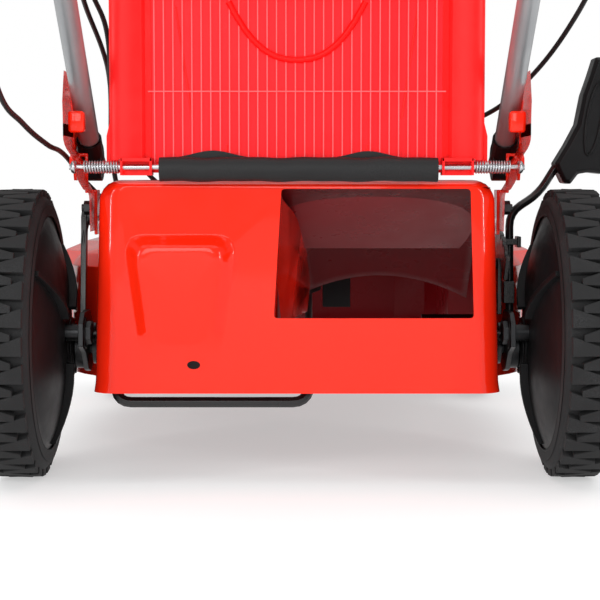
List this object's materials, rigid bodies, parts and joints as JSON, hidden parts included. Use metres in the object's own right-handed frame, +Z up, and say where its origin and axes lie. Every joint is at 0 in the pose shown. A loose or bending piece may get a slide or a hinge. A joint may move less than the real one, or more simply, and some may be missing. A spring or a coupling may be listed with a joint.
{
  "type": "walk-behind lawn mower",
  "caption": "Walk-behind petrol lawn mower with a pressed red deck, open rear discharge flap, folding tube handle, large rear wheels and a side height lever.",
  "frame": {"origin": "on the floor, under the middle of the mower's length and width", "axes": "+Y forward in the direction of mowing, +X to the operator's right, +Z up"},
  "size_m": [0.602, 1.5364, 0.9626],
  "materials": {
    "red_paint": "gloss red paint on pressed steel",
    "red_plastic": "red moulded plastic, satin to gloss",
    "black_plastic": "black moulded plastic, fine grain",
    "black_rubber": "soft black rubber",
    "tyre_rubber": "matt black tyre rubber",
    "black_steel": "black coated steel",
    "grey_steel": "dark phosphated steel",
    "grey_paint": "grey powder coat on steel tube",
    "zinc": "bright zinc plate",
    "aluminium": "as-cast aluminium"
  },
  "bodies": {
    "chassis": {"deck": "red_paint", "foot_guard": "black_steel", "belt_guard": "black_plastic", "hinge_rod": "zinc", "hinge_seal": "black_rubber", "bracket_left": "red_paint", "bracket_right": "red_paint", "spring_left": "zinc", "spring_right": "zinc", "height_index_plate": "black_steel", "bearing_plate_left": "black_steel", "bearing_plate_right": "black_steel", "crankcase": "aluminium", "engine_shroud": "black_plastic", "starter_housing": "black_plastic", "fuel_tank": "black_plastic", "muffler": "grey_steel", "air_filter_cover": "black_plastic", "gearbox": "aluminium", "drive_belt": "black_rubber", "brake_cable": "black_rubber", "speed_cable": "black_rubber", "drive_cable": "black_rubber", "throttle_cable": "black_rubber", "starter_rope": "black_rubber"},
    "flap": {"rear_flap": "red_plastic"},
    "lower_handle": {"lower_tube_left": "grey_paint", "lower_tube_right": "grey_paint", "tube_end_left": "black_plastic", "tube_end_right": "black_plastic", "rope_guide": "black_steel"},
    "upper_handle": {"upper_handle": "grey_paint", "handle_grip": "black_rubber", "control_panel": "black_plastic"},
    "knob_left": {"knob_left": "black_plastic"},
    "knob_right": {"knob_right": "black_plastic"},
    "brake_bail": {"brake_bail": "black_steel"},
    "drive_bail": {"drive_bail": "black_steel"},
    "throttle_lever": {"throttle_lever": "black_plastic"},
    "starter_handle": {"starter_handle": "black_plastic"},
    "arm_right": {"height_arm_right": "grey_steel", "height_lever_grip": "black_plastic", "dust_cover_right": "black_plastic"},
    "arm_left": {"height_arm_left": "grey_steel", "dust_cover_left": "black_plastic"},
    "height_link": {"height_link": "black_steel"},
    "front_axle": {"front_axle": "black_steel"},
    "rear_wheel_left": {"rear_tyre_left": "tyre_rubber", "rear_rim_left": "black_plastic"},
    "rear_wheel_right": {"rear_tyre_right": "tyre_rubber", "rear_rim_right": "black_plastic"},
    "front_wheel_left": {"front_tyre_left": "tyre_rubber", "front_rim_left": "black_plastic"},
    "front_wheel_right": {"front_tyre_right": "tyre_rubber", "front_rim_right": "black_plastic"},
    "crank": {"crankshaft": "grey_steel", "blade_adapter": "grey_steel", "blade": "grey_steel"},
    "gearbox_pulley": {"gearbox_pulley": "grey_steel"},
    "drive_shaft": {"drive_shaft": "grey_steel"}
  },
  "joints": [
    {"name": "flap_hinge", "type": "hinge", "parent": "chassis", "child": "flap", "pos_m": [0, -0.044, 0.3], "axis": [1, 0, 0], "range_deg": [0, 172]},
    {"name": "lower_handle_fold", "type": "hinge", "parent": "chassis", "child": "lower_handle", "pos_m": [0, 0.048, 0.306], "axis": [1, 0, 0], "range_deg": [-100, 0], "deforming": ["brake_cable", "speed_cable", "drive_cable", "throttle_cable", "starter_rope"]},
    {"name": "upper_handle_fold", "type": "hinge", "parent": "lower_handle", "child": "upper_handle", "pos_m": [0, -0.29177, 0.56955], "axis": [1, 0, 0], "range_deg": [0, 110], "deforming": ["brake_cable", "speed_cable", "drive_cable", "throttle_cable"]},
    {"name": "knob_left_turn", "type": "hinge", "parent": "upper_handle", "child": "knob_left", "pos_m": [-0.243, -0.29177, 0.56955], "axis": [1, 0, 0], "continuous": true},
    {"name": "knob_right_turn", "type": "hinge", "parent": "upper_handle", "child": "knob_right", "pos_m": [0.243, -0.29177, 0.56955], "axis": [1, 0, 0], "continuous": true},
    {"name": "brake_bail_squeeze", "type": "hinge", "parent": "upper_handle", "child": "brake_bail", "pos_m": [0, -0.65524, 0.85149], "axis": [1, 0, 0], "range_deg": [0, 34], "stiffness_Nm_per_rad": 2.5, "springref_deg": -17.19},
    {"name": "drive_bail_squeeze", "type": "hinge", "parent": "upper_handle", "child": "drive_bail", "pos_m": [0, -0.63943, 0.83923], "axis": [1, 0, 0], "range_deg": [-34, 0], "stiffness_Nm_per_rad": 2.5, "springref_deg": 17.19},
    {"name": "throttle_lever_turn", "type": "hinge", "parent": "upper_handle", "child": "throttle_lever", "pos_m": [0.194, -0.55395, 0.79444], "axis": [1, 0, 0], "range_deg": [-28, 28]},
    {"name": "starter_pull", "type": "slide", "parent": "lower_handle", "child": "starter_handle", "axis": [0, -0.7902, 0.6129], "range_m": [0, 0.28], "stiffness_N_per_m": 20, "springref_m": -0.05},
    {"name": "height_lever_turn", "type": "hinge", "parent": "chassis", "child": "arm_right", "pos_m": [0.208, 0.068, 0.122], "axis": [1, 0, 0], "range_deg": [-18, 27]},
    {"name": "height_arm_left_turn", "type": "hinge", "parent": "chassis", "child": "arm_left", "pos_m": [-0.208, 0.068, 0.122], "axis": [1, 0, 0], "range_deg": [-18, 27]},
    {"name": "front_axle_turn", "type": "hinge", "parent": "chassis", "child": "front_axle", "pos_m": [0, 0.708, 0.082], "axis": [1, 0, 0], "range_deg": [-18, 27]},
    {"name": "height_link_turn", "type": "hinge", "parent": "arm_left", "child": "height_link", "pos_m": [-0.2055, 0.083, 0.252], "axis": [1, 0, 0], "range_deg": [-27, 18]},
    {"name": "rear_wheel_left_spin", "type": "hinge", "parent": "arm_left", "child": "rear_wheel_left", "pos_m": [-0.266, 0.028, 0.14], "axis": [1, 0, 0], "continuous": true},
    {"name": "rear_wheel_right_spin", "type": "hinge", "parent": "arm_right", "child": "rear_wheel_right", "pos_m": [0.266, 0.028, 0.14], "axis": [1, 0, 0], "continuous": true},
    {"name": "front_wheel_left_spin", "type": "hinge", "parent": "front_axle", "child": "front_wheel_left", "pos_m": [-0.24, 0.668, 0.1], "axis": [1, 0, 0], "continuous": true},
    {"name": "front_wheel_right_spin", "type": "hinge", "parent": "front_axle", "child": "front_wheel_right", "pos_m": [0.24, 0.668, 0.1], "axis": [1, 0, 0], "continuous": true},
    {"name": "crank_spin", "type": "hinge", "parent": "chassis", "child": "crank", "pos_m": [0, 0.368, 0.2], "axis": [0, 0, 1], "continuous": true},
    {"name": "gearbox_pulley_spin", "type": "hinge", "parent": "chassis", "child": "gearbox_pulley", "pos_m": [-0.059, 0.072, 0.165], "axis": [0, 0, 1], "continuous": true},
    {"name": "drive_shaft_spin", "type": "hinge", "parent": "chassis", "child": "drive_shaft", "pos_m": [0, 0.068, 0.122], "axis": [1, 0, 0], "continuous": true}
  ],
  "couplings": [
    {"joint": "height_arm_left_turn", "follows": "height_lever_turn", "ratio": 1},
    {"joint": "front_axle_turn", "follows": "height_lever_turn", "ratio": 1},
    {"joint": "height_link_turn", "follows": "height_lever_turn", "ratio": -1},
    {"joint": "gearbox_pulley_spin", "follows": "crank_spin", "ratio": 0.82143}
  ]
}
